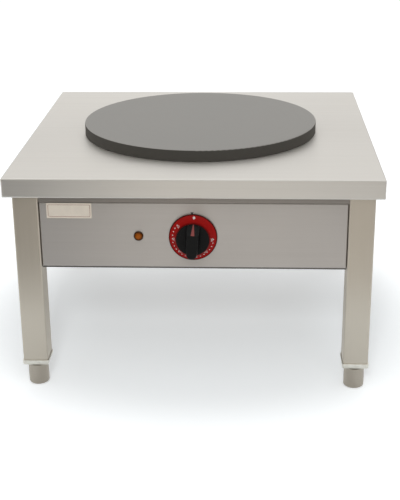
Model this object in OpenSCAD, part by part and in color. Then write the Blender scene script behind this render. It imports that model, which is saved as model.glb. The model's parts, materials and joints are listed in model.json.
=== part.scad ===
// Electric crepe maker: a round griddle plate on a folded stainless worktop, with a closed
// electric box below it and four square legs on screw feet.
// The origin is on the floor below the middle of the worktop. X is right, Y is back, Z is up.

/* [Worktop] */
// Width of the worktop, side to side
worktop_w = 582; // [490:1:720]
// Depth of the worktop, front to back
worktop_d = 582; // [500:1:720]
// Height of the worktop's surface above the floor
worktop_h = 360; // [290:1:600]
// Height of the worktop's turned-down edge
lip_h = 31; // [20:1:45]
// Width of the edge's return, folded in below
lip_return = 8; // [4:0.5:9]
// Sheet thickness of the worktop
worktop_t = 1.5; // [1:0.1:2]
// Outer radius of the worktop's bends
worktop_bend = 2.6; // [2:0.1:4]

/* [Legs and feet] */
// Side of the square leg tube
leg_size = 40; // [30:1:48]
// Wall of the leg tube
leg_wall = 1.5; // [1:0.1:3]
// Outer corner radius of the leg tube
leg_corner = 2.5; // [1:0.1:4]
// Gap from the worktop's side edge to the leg
leg_inset_x = 12.75; // [10:0.25:40]
// Gap from the worktop's front edge to the leg
leg_inset_y = 13; // [12:0.25:40]
// How far the leg insert's collar stands proud of the tube
collar_proud = 1.5; // [0:0.1:2]
// Height of the leg insert's collar
collar_h = 11; // [6:0.5:16]
// Length of the leg insert's plug inside the tube
plug_l = 25; // [15:1:40]
// Diameter of the foot's cup
foot_d = 33; // [26:0.5:38]
// Height from the floor to the leg insert's collar
foot_h = 37; // [30:0.5:60]
// Gap between the foot's cup and the collar when screwed in
foot_gap = 1.2; // [0.8:0.1:3]
// Diameter of the foot's screw
foot_screw_d = 10; // [8:1:12]
// How far the foot screws out
foot_travel = 15; // [5:1:20]

/* [Box] */
// Height of the box's side panels
panel_h = 105.5; // [88:0.5:140]
// Gap between the worktop's edge and the panels' top
panel_drop = 11.5; // [6:0.5:24]
// How far the panels stand back from the legs' faces
panel_setback = 2; // [0:0.5:6]
// Gap between a panel's end and the leg
panel_gap = 1; // [0.5:0.5:4]
// Depth of the panels' folded returns
panel_return = 22; // [18:1:30]
// Sheet thickness of the panels
panel_t = 1.2; // [0.8:0.1:1.5]
// Outer radius of the panels' bends
panel_bend = 2; // [1.6:0.1:3]
// Height of the base cover's rim
cover_rim = 3; // [2:0.5:8]

/* [Plate and elements] */
// Diameter of the griddle plate
plate_d = 400; // [330:1:480]
// Thickness of the griddle plate
plate_t = 18.5; // [12:0.5:30]
// Thickness of the fibre ring under the plate
gasket_t = 0.5; // [0.5:0.5:3]
// Diameter of the heating elements' tube
element_d = 8.5; // [6.5:0.5:10]
// Mean radius of the inner heating element
inner_element_r = 75; // [50:1:90]
// Diameter of the plate's studs
stud_d = 8; // [6:1:12]

/* [Controls] */
// Diameter of the knob's red skirt
skirt_d = 75; // [64:1:86]
// How far the skirt's flare rises from its rim to the knob's body
skirt_rise = 10.6; // [4:0.2:12]
// Diameter of the knob's black body
grip_d = 51; // [44:1:60]
// How far the knob stands proud of the panel
knob_proud = 33; // [26:1:42]
// Width of the knob's grip bar at its top
bar_w = 18; // [12:0.5:22]
// Angle by which the knob stands past its zero mark
knob_rest = 3.5; // [0:0.5:270]
// Diameter of the thermostat's shaft
shaft_d = 6; // [5:0.5:8]
// Distance from the knob's axis to the pilot lamp
lamp_x = 84.5; // [60:0.5:140]
// Diameter of the pilot lamp's bezel
bezel_d = 15; // [12:0.5:20]
// Width of the blank label
label_w = 70; // [30:0.5:90]
// Height of the blank label
label_h = 24.5; // [14:0.5:36]

/* [Supply] */
// Diameter of the supply cord that the gland takes
cord_hole_d = 10; // [7:0.5:12]
// How far the cable gland stands out of the rear panel
gland_proud = 30; // [22:1:33]

/* [Hidden] */
$fn = 96;
eps = 0.5;                 // overshoot of a cutting tool past the face that it cuts
punch = 5;                 // reach of a cutting tool to either side of a panel's face
running = 0.05;            // radial clearance of a part that turns or slides in another
slack = 0.3;               // gap between parts that are only placed side by side

// heights
box_top = worktop_h - lip_h - panel_drop;
box_bottom = box_top - panel_h;
sheet_under = worktop_h - worktop_t;
tube_bottom = foot_h + collar_h;
controls_z = box_bottom + panel_h / 2 - 2;

// distances from the middle to the outer faces, on the front and the sides
leg_x = worktop_w / 2 - leg_inset_x - leg_size / 2;
leg_y = worktop_d / 2 - leg_inset_y - leg_size / 2;
leg_wide_x = leg_x + leg_size / 2;
leg_wide_y = leg_y + leg_size / 2;
panel_out = [leg_wide_y - panel_setback, leg_wide_x - panel_setback];
rail_back = [1, 10];       // how far the rails stand behind the panels' faces
rail_out = panel_out - rail_back;
rail_l = [2 * (leg_x - leg_size / 2), 2 * (leg_y - leg_size / 2)];
panel_l = [rail_l[0] - 2 * panel_gap, rail_l[1] - 2 * panel_gap];
rail_t = 1.5;
rail_upper = 15;           // width of a rail's flange under the worktop
rail_lower = 25;           // width of a rail's flange over the panels
screw_line = (rail_back[1] + panel_return) / 2;    // from a panel's face to its top screws
panel_screw_r = 2;
panel_screw_l = 10;
screw_head_r = 3.6;
screw_head_h = 2.2;
m6_r = 3;
m6_head_r = 5.5;
vent_w = 4;
rear_vent_l = 45;
rear_vent_pitch = 15;
rear_vent_from = -60;
rear_vent_to = 120;
floor_vent_l = 90;
floor_vent_pitch = 12;
floor_vent_x = 110;
floor_vent_reach = 60;     // from the middle to the first and the last floor vent

// griddle plate and what hangs below it, from the top down
plate_under = worktop_h + gasket_t;
opening_r = plate_d / 2 - 14;
gasket_r = opening_r + 10;
pan_fixing_ring_r = opening_r + 5;
stud_r = plate_d / 2 - 40;
outer_element_r = plate_d / 2 - 60;
stud_in = min(12, plate_t - 5);
element_sleeve = 0.15;     // wall of the sleeve round an element's bend
element_z = plate_under - element_sleeve - element_d / 2;
element_half_gap = 17;     // degrees from the front middle line to an element's end
element_bend = 10;         // radius in which an element's end turns down
clamp_t = 3;
clamp_w = 25;
clamp_top = element_z - element_d / 2;
nut_h = 0.8 * stud_d;
nut_r = 0.94 * stud_d;
bar_t = 5;
bar_depth = 30;
bar_z = box_top + rail_t;
bar_y = stud_r * sin(45);
bar_end = panel_out[1] - screw_line - screw_head_r - 3.4;
bar_bolt_x = rail_out[1] - rail_lower + m6_head_r;
pan_t = 1.2;
pan_r = opening_r - 8;
pan_z = bar_z + bar_t;
pad_z = pan_z + pan_t;
pad_h = clamp_top - clamp_t - nut_h - slack - pad_z;
pan_fixing_r = 1.5;
pan_fixing_l = 8;
sheath_drop = 14;          // from the pan's floor down to the end of an element's sheath
terminal_drop = 32;        // from the pan's floor down to the end of an element's pin
element_pin_r = 2;
element_hole_d = element_d + 3;

// controls
panel_face = -panel_out[0];
skirt_gap = 1.2;
skirt_t = 2;               // thickness of the skirt, measured along the knob's axis
skirt_flare = 1.84;        // power of the skirt's flare: 1 would be a cone
skirt_hub_r = grip_d / 2 + 0.3;
grip_base = skirt_gap + skirt_t + skirt_rise;
grip_low = 1.2;            // height of the knob's round body beside its bar
pointer_r = 12.7;          // where the sloped end of the bar meets its flat top
shaft_r = shaft_d / 2;
shaft_in = 12;             // how far the shaft reaches into the grip
shaft_flat = 1.5;          // depth of the flat on the shaft
shaft_flat_from = 4;       // from the grip's foot to where the flat starts
neck_r = shaft_r + 1.5;    // of the thermostat's neck round its shaft
shaft_stop = 10;           // thickness of the thermostat's body behind the shaft's bore
bracket_t = 1.5;
bracket_w = 60;
bracket_h = 44;
thermostat_screw_x = 14;
thermostat_screw_in = 6;
thermostat_w = 44;
thermostat_h = 38;
thermostat_l = 34;
thermostat_back = panel_face + panel_t + bracket_t + thermostat_l;
bulb_r = 3;
bulb_l = 80;
bulb_z = plate_under - bulb_r;
capillary_r = 0.8;
capillary_hole_r = 4;
capillary_x = -(bulb_l / 2 + 12);
lamp_up = 1;               // height of the lamp's axis above the knob's
lamp_r = 6;
lamp_l = 30;
lens_r = bezel_d / 2 - 1.1;
lens_stem_r = lamp_r - 1.8;
lens_stem_l = 6;
bezel_h = 2.5;
label_t = 0.8;
label_inset = 11.5;        // from the control panel's end to the label
label_drop = 1;            // from the control panel's top to the label

// supply
supply_inset = 110;        // from the worktop's side edge to the gland or the bonding stud
supply_x = -worktop_w / 2 + supply_inset;
supply_z = box_bottom + 40;
gland_bore_r = cord_hole_d / 2 + 0.5;
gland_thread_r = 10;
gland_thread_in = 14;      // length of the gland's thread inside the panel
gland_collar = 9;
gland_cap_l = 16;
gland_cap_t = 6;           // thickness of the cap's end, through which the cord passes
gland_nut_h = 5;
seal_l = 14;
seal_t = 2;
block_x = supply_x;
block_y = panel_out[0] - 78;
block_w = 52;
block_d = 22;
block_h = 18;
terminal_pitch = 16;
terminal_screw_y = 6;
terminal_screw_r = 2;
terminal_hole_r = 2.2;
earth_x = worktop_w / 2 - supply_inset;
earth_l = 20;
earth_washer_t = 1.5;
wire_r = 1.5;

// feet
sole_r = foot_d / 2 - 5.5;
sole_proud = 1;
sole_t = 4;
foot_screw_top = tube_bottom + plug_l + foot_travel;

// ---------- shared shapes ----------

// Rectangle standing on Y = 0, with one radius for its upper and one for its lower corners
module edge_profile(w, h, r_top, r_bottom) {
    translate([-w / 2, r_bottom]) square([w, h - r_top - r_bottom]);
    translate([-w / 2 + r_top, r_bottom]) square([w - 2 * r_top, h - r_bottom]);
    translate([-w / 2 + r_bottom, 0]) square([w - 2 * r_bottom, h - r_top]);
    for (s = [-1, 1]) {
        translate([s * (w / 2 - r_top), h - r_top]) circle(r_top);
        translate([s * (w / 2 - r_bottom), r_bottom]) circle(r_bottom);
    }
}

// Block standing on Z = 0 with rounded upright, upper and lower edges
module soft_block(w, d, h, r_side, r_top, r_bottom) {
    intersection() {
        linear_extrude(h) translate([0, -d / 2]) edge_profile(w, d, r_side, r_side);
        translate([0, d / 2, 0]) rotate([90, 0, 0])
            linear_extrude(d) edge_profile(w, h, r_top, r_bottom);
        translate([-w / 2, 0, 0]) rotate([90, 0, 90])
            linear_extrude(w) edge_profile(d, h, r_top, r_bottom);
    }
}

// Half of a rounded profile, turned about the Z axis
module turned(r, h, r_top, r_bottom) {
    rotate_extrude() intersection() {
        edge_profile(2 * r, h, r_top, r_bottom);
        square([r + 1, h]);
    }
}

// Ring standing on Z = 0
module ring(r_out, r_in, h) {
    difference() {
        cylinder(r = r_out, h = h);
        translate([0, 0, -eps]) cylinder(r = r_in, h = h + 2 * eps);
    }
}

// Hexagon nut standing on Z = 0, with the bolt's own radius as its bore
module hex_nut(r_corner, r_bore, h) {
    difference() {
        cylinder(r = r_corner, h = h, $fn = 6);
        translate([0, 0, -eps]) cylinder(r = r_bore, h = h + 2 * eps);
    }
}

// Screw that points up from its pan head; Z = 0 is under the head
module pan_screw(r, l, head_r, head_h) {
    cylinder(r = r, h = l);
    translate([0, 0, -head_h]) turned(head_r, head_h, 0.1, 0.8);
}

// Slot with round ends along X, cut through from Z = 0
module slot(l, w, depth) {
    translate([-l / 2 + w / 2, -w / 2, 0]) cube([l - w, w, depth]);
    for (s = [-1, 1]) translate([s * (l - w) / 2, 0, 0]) cylinder(d = w, h = depth);
}

// Puts a shape that faces -Y onto side k: 0 front, 1 right, 2 rear, 3 left
module on_side(k, out) {
    rotate([0, 0, 90 * k]) translate([0, -out[k % 2], 0]) children();
}

// Puts a shape on the control panel: X right, Y up, Z out of the panel's face
module on_controls(x) {
    translate([x, panel_face, controls_z]) rotate([90, 0, 0]) children();
}

// Puts a shape on the knob's axis, turned as the knob stands at rest
module on_knob() {
    on_controls(0) rotate([0, 0, -knob_rest]) children();
}

// Puts a shape on the pilot lamp's axis
module on_lamp() {
    on_controls(-lamp_x) translate([0, lamp_up, 0]) children();
}

// Puts a shape on the rear panel: Z out of the panel's face
module on_rear(x, z) {
    translate([x, panel_out[0], z]) rotate([-90, 0, 0]) children();
}

// The four leg places
module at_legs() {
    for (x = [-leg_x, leg_x], y = [-leg_y, leg_y]) translate([x, y, 0]) children();
}

// Round tube through a list of points, with flat ends
function along(p, i) =
    let (a = p[max(0, i - 1)], b = p[min(len(p) - 1, i + 1)], d = b - a) d / norm(d);
function across(t) = let (c = cross(t, [0.31, 0.17, 0.94])) c / norm(c);
module tube(p, r, sides = 8) {
    rings = [for (i = [0 : len(p) - 1], k = [0 : sides - 1])
        let (t = along(p, i), u = across(t), v = cross(t, u), a = 360 * k / sides)
            p[i] + r * (u * cos(a) + v * sin(a))];
    walls = [for (i = [0 : len(p) - 2], k = [0 : sides - 1])
        let (m = (k + 1) % sides)
            each [[i * sides + k, i * sides + m, (i + 1) * sides + m],
                [i * sides + k, (i + 1) * sides + m, (i + 1) * sides + k]]];
    first = [for (k = [sides - 1 : -1 : 0]) k];
    last = [for (k = [0 : sides - 1]) (len(p) - 1) * sides + k];
    polyhedron(rings, concat(walls, [first], [last]));
}

// ---------- worktop, legs and rails ----------

module worktop() {
    inner_bend = max(0.2, worktop_bend - worktop_t);
    color("silver") difference() {
        translate([0, 0, worktop_h - lip_h]) soft_block(
            worktop_w, worktop_d, lip_h, worktop_bend, worktop_bend, worktop_bend);
        translate([0, 0, worktop_h - lip_h + worktop_t]) soft_block(
            worktop_w - 2 * worktop_t, worktop_d - 2 * worktop_t, lip_h - 2 * worktop_t,
            inner_bend, inner_bend, inner_bend);
        translate([0, 0, worktop_h - lip_h - eps]) linear_extrude(lip_h / 2)
            square([worktop_w - 2 * lip_return, worktop_d - 2 * lip_return], center = true);
        translate([0, 0, worktop_h - lip_h]) cylinder(r = opening_r, h = 2 * lip_h);
    }
}

module leg(side_x, side_y) {
    height = sheet_under - tube_bottom;
    inside = leg_size - 2 * leg_wall;
    inner_corner = max(0.2, leg_corner - leg_wall);
    color("silver") translate([side_x * leg_x, side_y * leg_y, tube_bottom]) difference() {
        linear_extrude(height) translate([0, -leg_size / 2])
            edge_profile(leg_size, leg_size, leg_corner, leg_corner);
        translate([0, 0, -eps]) linear_extrude(height + 2 * eps) translate([0, -inside / 2])
            edge_profile(inside, inside, inner_corner, inner_corner);
    }
}

module leg_inserts() {
    collar = leg_size + 2 * collar_proud;
    collar_corner = 3.5;
    plug = leg_size - 2 * leg_wall - 4 * running;
    color("darkgray") at_legs() difference() {
        union() {
            translate([0, 0, foot_h])
                soft_block(collar, collar, collar_h, collar_corner, 0.8, 0.7 * collar_h);
            translate([0, 0, tube_bottom - eps])
                soft_block(plug, plug, plug_l + eps, 1, 1, 0.2);
        }
        translate([0, 0, foot_h - eps])
            cylinder(d = foot_screw_d + 2 * running, h = collar_h + plug_l + 2 * eps);
    }
}

// Folded channel that ties two legs below the worktop, open to the inside
module rail(k) {
    height = sheet_under - box_top;
    l = rail_l[k % 2];
    color("darkgray") on_side(k, rail_out) difference() {
        translate([-l / 2, 0, box_top]) union() {
            cube([l, rail_t, height]);
            cube([l, rail_lower, rail_t]);
            translate([0, 0, height - rail_t]) cube([l, rail_upper, rail_t]);
        }
        for (x = [-1, 0, 1])
            translate([x * panel_l[k % 2] / 3, screw_line - rail_back[k % 2], box_top - eps])
                cylinder(r = panel_screw_r, h = rail_t + 2 * eps);
        if (k % 2 == 1) for (x = [-bar_y, bar_y])
            translate([x, rail_out[1] - bar_bolt_x, box_top - eps])
                cylinder(r = m6_r, h = rail_t + 2 * eps);
    }
}

// ---------- box ----------

// Panel with four folded returns, its face towards -Y at Y = 0 and its foot at box_bottom
module folded_panel(w) {
    inner_bend = max(0.2, panel_bend - panel_t);
    translate([0, panel_return, box_bottom + panel_h / 2]) rotate([90, 0, 0]) difference() {
        soft_block(w, panel_h, panel_return, panel_bend, panel_bend, 0.1);
        translate([0, 0, -panel_t]) soft_block(
            w - 2 * panel_t, panel_h - 2 * panel_t, panel_return, inner_bend, inner_bend, 0.1);
    }
}

// Places of a panel's screws: three above, into the rail, and two below, into its own return
module top_screw_places(k) {
    on_side(k, panel_out) for (x = [-1, 0, 1])
        translate([x * panel_l[k % 2] / 3, screw_line, box_top - panel_t]) children();
}
module cover_screw_places(k) {
    on_side(k, panel_out) for (x = [-1, 1])
        translate([x * panel_l[k % 2] / 3, screw_line, box_bottom]) children();
}

module panel(k) {
    difference() {
        on_side(k, panel_out) folded_panel(panel_l[k % 2]);
        top_screw_places(k) translate([0, 0, -eps])
            cylinder(r = panel_screw_r, h = panel_t + 2 * eps);
        cover_screw_places(k) translate([0, 0, -eps])
            cylinder(r = panel_screw_r, h = panel_t + 2 * eps);
    }
}

module control_panel() {
    color("lightgray") difference() {
        panel(0);
        on_controls(0) translate([0, 0, -punch]) {
            cylinder(r = neck_r + slack, h = 2 * punch);
            for (x = [-1, 1]) translate([x * thermostat_screw_x, 0, 0])
                cylinder(r = panel_screw_r, h = 2 * punch);
        }
        on_lamp() translate([0, 0, -punch]) cylinder(r = lamp_r, h = 2 * punch);
    }
}

module rear_panel() {
    color("lightgray") difference() {
        panel(2);
        on_rear(supply_x, supply_z) translate([0, 0, -punch])
            cylinder(r = gland_thread_r, h = 2 * punch);
        on_rear(earth_x, supply_z) translate([0, 0, -punch]) cylinder(r = m6_r, h = 2 * punch);
        for (x = [rear_vent_from : rear_vent_pitch : rear_vent_to])
            on_rear(x, box_bottom + panel_h / 2) translate([0, 0, -punch])
                rotate([0, 0, 90]) slot(rear_vent_l, vent_w, 2 * punch);
    }
}

module left_panel() { color("lightgray") panel(3); }

module right_panel() { color("lightgray") panel(1); }

// Flat outline of the box's floor: a rectangle with a notch at each leg
module floor_outline(inset) {
    notch_x = 2 * (leg_x - leg_size / 2 - 1 - inset);
    notch_y = 2 * (leg_y - leg_size / 2 - 1 - inset);
    reach = panel_bend + 1 + inset;
    square([notch_x, 2 * (panel_out[0] - reach)], center = true);
    square([2 * (panel_out[1] - reach), notch_y], center = true);
}

module base_cover() {
    color("darkgray") difference() {
        translate([0, 0, box_bottom - cover_rim]) linear_extrude(cover_rim) floor_outline(0);
        translate([0, 0, box_bottom - cover_rim - eps])
            linear_extrude(cover_rim - panel_t + eps) floor_outline(panel_t);
        for (k = [0 : 3]) cover_screw_places(k) translate([0, 0, -cover_rim - eps])
            cylinder(r = panel_screw_r, h = cover_rim + 2 * eps);
        for (side = [-1, 1], y = [-floor_vent_reach : floor_vent_pitch : floor_vent_reach])
            translate([side * floor_vent_x, y, box_bottom - cover_rim])
                slot(floor_vent_l, vent_w, 2 * cover_rim);
    }
}

module panel_screws() {
    color("gainsboro") for (k = [0 : 3]) top_screw_places(k)
        pan_screw(panel_screw_r, panel_screw_l, screw_head_r, screw_head_h);
}

module base_cover_screws() {
    color("gainsboro") for (k = [0 : 3]) cover_screw_places(k) translate([0, 0, -panel_t])
        pan_screw(panel_screw_r, panel_screw_l, screw_head_r, screw_head_h);
}

// ---------- griddle plate and heating ----------

module at_studs() {
    for (a = [45 : 90 : 315]) rotate([0, 0, a]) translate([stud_r, 0, 0]) children();
}

// The pins of both elements, which bend down on either side of the front middle line
module at_element_pins() {
    for (r = [inner_element_r, outer_element_r], s = [-1, 1])
        rotate([0, 0, -90 + s * element_half_gap])
            translate([r, -s * element_bend, 0]) children();
}

module griddle_plate() {
    color([0.25, 0.25, 0.26]) difference() {
        translate([0, 0, plate_under]) turned(plate_d / 2, plate_t, 1.5, 0.4);
        at_studs() translate([0, 0, plate_under - eps])
            cylinder(d = stud_d, h = stud_in + eps);
    }
}

module plate_gasket() {
    color("ivory") translate([0, 0, worktop_h]) ring(gasket_r, opening_r, gasket_t);
}

module plate_studs() {
    foot = bar_z - nut_h - 4;
    color("gainsboro") at_studs() translate([0, 0, foot])
        cylinder(d = stud_d, h = plate_under + stud_in - foot);
}

// Upper nuts hold the element clamp and lower nuts draw the plate down onto the support bars
module plate_nuts() {
    color("gainsboro") at_studs() for (z = [clamp_top - clamp_t - nut_h, bar_z - nut_h])
        translate([0, 0, z]) hex_nut(nut_r, stud_d / 2, nut_h);
}

module element_clamp() {
    color("silver") translate([0, 0, clamp_top - clamp_t]) difference() {
        for (a = [45, 135]) rotate([0, 0, a])
            translate([-stud_r - 12, -clamp_w / 2, 0]) cube([2 * stud_r + 24, clamp_w, clamp_t]);
        at_studs() translate([0, 0, -eps]) cylinder(d = stud_d + 0.5, h = clamp_t + 2 * eps);
    }
}

// Sleeved quarter bend at one end of an element's loop, from level to straight down
module element_elbow(r, s) {
    lap = 4;               // degrees by which the sleeve laps the tube at either end
    translate([r, 0, element_z - element_bend]) mirror([0, (s + 1) / 2, 0])
        rotate([0, -90, 0]) rotate([0, 0, -lap]) rotate_extrude(angle = 90 + 2 * lap)
            translate([element_bend, 0]) circle(d = element_d + 2 * element_sleeve);
}

// Tubular heating element: an open loop under the plate whose two ends turn down
module element_loop(r) {
    sweep = 360 - 2 * element_half_gap;
    sheath_end = pan_z - sheath_drop;
    color("dimgray") {
        translate([0, 0, element_z]) rotate([0, 0, -90 + element_half_gap])
            rotate_extrude(angle = sweep) translate([r, 0]) circle(d = element_d);
        for (s = [-1, 1]) rotate([0, 0, -90 + s * element_half_gap]) {
            element_elbow(r, s);
            translate([r, -s * element_bend, sheath_end])
                cylinder(d = element_d, h = element_z - element_bend - sheath_end);
            translate([r, -s * element_bend, pan_z - terminal_drop])
                cylinder(r = element_pin_r, h = terminal_drop - sheath_drop);
        }
    }
}

module inner_element() { element_loop(inner_element_r); }

module outer_element() { element_loop(outer_element_r); }

module insulation_pad() {
    color("khaki") translate([0, 0, pad_z]) difference() {
        cylinder(r = pan_r - 1, h = pad_h);
        at_studs() translate([0, 0, -eps]) cylinder(d = stud_d + 2, h = pad_h + 2 * eps);
        at_element_pins() translate([0, 0, -eps])
            cylinder(d = element_hole_d, h = pad_h + 2 * eps);
        translate([capillary_x, 0, -eps]) cylinder(r = capillary_hole_r, h = pad_h + 2 * eps);
    }
}

module reflector_pan() {
    depth = sheet_under - pan_z;
    color("silver") translate([0, 0, pan_z]) difference() {
        rotate_extrude() polygon([
            [0, 0], [pan_r + pan_t, 0], [pan_r + pan_t, depth - pan_t],
            [gasket_r, depth - pan_t], [gasket_r, depth], [pan_r, depth], [pan_r, pan_t],
            [0, pan_t]]);
        at_studs() translate([0, 0, -eps]) cylinder(d = stud_d + 1, h = pan_t + 2 * eps);
        at_element_pins() translate([0, 0, -eps])
            cylinder(d = element_hole_d, h = pan_t + 2 * eps);
        translate([capillary_x, 0, -eps]) cylinder(r = capillary_hole_r, h = pan_t + 2 * eps);
        for (a = [0 : 60 : 300]) rotate([0, 0, a])
            translate([pan_fixing_ring_r, 0, depth - pan_t - eps])
                cylinder(r = pan_fixing_r, h = pan_t + 2 * eps);
    }
}

// Studs welded under the worktop, with the nuts that hold the pan's flange
module pan_fixings() {
    nut = 2.4;
    color("gainsboro") for (a = [0 : 60 : 300]) rotate([0, 0, a])
        translate([pan_fixing_ring_r, 0, sheet_under]) {
            translate([0, 0, -pan_fixing_l]) cylinder(r = pan_fixing_r, h = pan_fixing_l);
            translate([0, 0, -pan_t - nut]) cylinder(r = 2 * pan_fixing_r, h = nut, $fn = 6);
        }
}

module support_bars() {
    color("darkgray") for (y = [-bar_y, bar_y]) translate([0, y, bar_z]) difference() {
        translate([-bar_end, -bar_depth / 2, 0]) cube([2 * bar_end, bar_depth, bar_t]);
        for (x = [-bar_y, bar_y]) translate([x, 0, -eps])
            cylinder(d = stud_d + 1, h = bar_t + 2 * eps);
        for (x = [-bar_bolt_x, bar_bolt_x]) translate([x, 0, -eps])
            cylinder(r = m6_r, h = bar_t + 2 * eps);
    }
}

// Each bolt hangs from its head on the bar, with its nut below the rail
module support_bar_bolts() {
    head = 4;
    nut = 5;
    past_nut = 3;
    l = bar_t + rail_t + nut + past_nut;
    color("gainsboro") for (x = [-bar_bolt_x, bar_bolt_x], y = [-bar_y, bar_y])
        translate([x, y, bar_z + bar_t]) {
            cylinder(r = m6_head_r, h = head, $fn = 6);
            translate([0, 0, -l]) cylinder(r = m6_r, h = l);
            translate([0, 0, -l + past_nut]) cylinder(r = m6_head_r, h = nut, $fn = 6);
        }
}

// ---------- thermostat, lamp and label ----------

module thermostat_body() {
    color("saddlebrown") on_controls(0) translate([0, 0, -panel_t - bracket_t]) difference() {
        union() {
            translate([0, 0, -thermostat_l])
                soft_block(thermostat_w, thermostat_h, thermostat_l, 3, 1, 2);
            cylinder(r = neck_r, h = panel_t + bracket_t);
        }
        translate([0, 0, -thermostat_l + shaft_stop])
            cylinder(r = shaft_r + running, h = thermostat_l);
        for (x = [-1, 1]) translate([x * thermostat_screw_x, 0, -thermostat_screw_in - 2])
            cylinder(r = panel_screw_r, h = thermostat_screw_in + 2 + eps);
    }
}

module thermostat_bracket() {
    color("gainsboro") on_controls(0) translate([0, 0, -panel_t - bracket_t]) difference() {
        soft_block(bracket_w, bracket_h, bracket_t, 4, 0.1, 0.1);
        translate([0, 0, -eps]) cylinder(r = neck_r, h = bracket_t + 2 * eps);
        for (x = [-1, 1]) translate([x * thermostat_screw_x, 0, -eps])
            cylinder(r = panel_screw_r, h = bracket_t + 2 * eps);
    }
}

module thermostat_screws() {
    l = panel_t + bracket_t + thermostat_screw_in;
    color("gainsboro") on_controls(0) for (x = [-1, 1])
        translate([x * thermostat_screw_x, 0, 0]) {
            translate([0, 0, -l]) cylinder(r = panel_screw_r, h = l);
            cylinder(r = screw_head_r, h = screw_head_h);
        }
}

module thermostat_bulb() {
    color("goldenrod") translate([0, 0, bulb_z]) rotate([0, 90, 0])
        cylinder(r = bulb_r, h = bulb_l, center = true);
}

// Strip between the element clamp and the bulb, which presses the bulb to the plate
module bulb_clip() {
    height = bulb_z - bulb_r - clamp_top;
    color("silver") translate([-25, -8, clamp_top]) cube([50, 16, height]);
}

module thermostat_capillary() {
    start = [-bulb_l / 2, 0, bulb_z];
    finish = [thermostat_w / 4, thermostat_back, controls_z + 6];
    low = pan_z - 22;
    color("goldenrod") tube([
        start, start + [-7, 0, 0], [capillary_x + 1, 0, bulb_z - 2],
        [capillary_x, 0, bulb_z - 7], [capillary_x, 0, low + 6], [capillary_x, -4, low],
        [capillary_x, -12, low - 2], [-30, thermostat_back + 60, low - 4],
        [0, thermostat_back + 34, low - 12], finish + [0, 14, 2], finish], capillary_r);
}

module lamp_bezel() {
    color("black") on_lamp() difference() {
        turned(bezel_d / 2, bezel_h, 1, 0.1);
        translate([0, 0, -eps]) cylinder(r = lens_r, h = bezel_h + 2 * eps);
    }
}

module lamp_lens() {
    color("darkorange") on_lamp() {
        turned(lens_r, 4, 1.6, 0.1);
        translate([0, 0, -lens_stem_l]) cylinder(r = lens_stem_r, h = lens_stem_l + eps);
    }
}

module lamp_body() {
    color("whitesmoke") on_lamp() difference() {
        translate([0, 0, -lamp_l]) cylinder(r = lamp_r, h = lamp_l);
        translate([0, 0, -lens_stem_l]) cylinder(r = lens_stem_r, h = lens_stem_l + eps);
    }
}

module lamp_nut() {
    color("whitesmoke") on_lamp() translate([0, 0, -panel_t - 5])
        hex_nut(lamp_r + 3, lamp_r, 5);
}

module label_plate() {
    label_x = -panel_l[0] / 2 + label_inset + label_w / 2;
    color("beige") translate([label_x, panel_face, box_top - label_drop - label_h / 2])
        rotate([90, 0, 0]) soft_block(label_w, label_h, label_t, 1.5, 0.2, 0.1);
}

// ---------- supply ----------

module terminal_block() {
    color("whitesmoke") translate([block_x, block_y, box_bottom]) difference() {
        soft_block(block_w, block_d, block_h, 1, 1, 0.1);
        for (x = [-terminal_pitch, 0, terminal_pitch]) translate([x, 0, 0]) {
            translate([0, block_d, block_h / 2]) rotate([90, 0, 0])
                cylinder(r = terminal_hole_r, h = 2 * block_d);
            for (y = [-1, 1]) translate([0, y * terminal_screw_y, block_h / 2])
                cylinder(r = terminal_screw_r, h = block_h);
        }
    }
}

module terminal_screws() {
    above_hole = 3;
    below_top = 1;
    color("gold") for (x = [-1, 0, 1], y = [-1, 1])
        translate([block_x + x * terminal_pitch, block_y + y * terminal_screw_y,
            box_bottom + block_h / 2 + above_hole])
                cylinder(r = terminal_screw_r, h = block_h / 2 - above_hole - below_top);
}

module cable_gland() {
    back = -panel_t - gland_thread_in;
    mouth = gland_proud - gland_cap_t;
    color("black") on_rear(supply_x, supply_z) difference() {
        union() {
            translate([0, 0, back]) cylinder(r = gland_thread_r, h = -back);
            cylinder(r = gland_thread_r + 4, h = gland_collar, $fn = 6);
            cylinder(r = gland_thread_r - 1, h = mouth);
        }
        translate([0, 0, back - eps]) cylinder(r = gland_bore_r, h = mouth - back + 2 * eps);
        translate([0, 0, mouth - seal_l]) cylinder(r = cord_hole_d / 2 + seal_t, h = seal_l + eps);
    }
}

module gland_seal() {
    color("dimgray") on_rear(supply_x, supply_z)
        translate([0, 0, gland_proud - gland_cap_t - seal_l])
            ring(cord_hole_d / 2 + seal_t, cord_hole_d / 2, seal_l);
}

module gland_cap() {
    color("black") on_rear(supply_x, supply_z) translate([0, 0, gland_proud - gland_cap_l])
        difference() {
            turned(gland_thread_r + 3, gland_cap_l, 5, 0.5);
            translate([0, 0, -eps]) cylinder(r = gland_bore_r, h = gland_cap_l + 2 * eps);
            translate([0, 0, -eps])
                cylinder(r = gland_thread_r - 1, h = gland_cap_l - gland_cap_t + eps);
        }
}

module gland_locknut() {
    color("black") on_rear(supply_x, supply_z) translate([0, 0, -panel_t - gland_nut_h])
        hex_nut(gland_thread_r + 4, gland_thread_r, gland_nut_h);
}

// Terminal for an outside bonding wire: a bolt from inside with a nut on the panel's face
module earth_stud() {
    head = 4;
    nut = 5;
    color("gold") on_rear(earth_x, supply_z) {
        translate([0, 0, -panel_t - head]) cylinder(r = m6_head_r, h = head, $fn = 6);
        translate([0, 0, -panel_t]) cylinder(r = m6_r, h = panel_t + earth_l);
        cylinder(r = 2 * m6_r, h = earth_washer_t);
        translate([0, 0, earth_washer_t]) cylinder(r = m6_head_r, h = nut, $fn = 6);
    }
}

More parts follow.
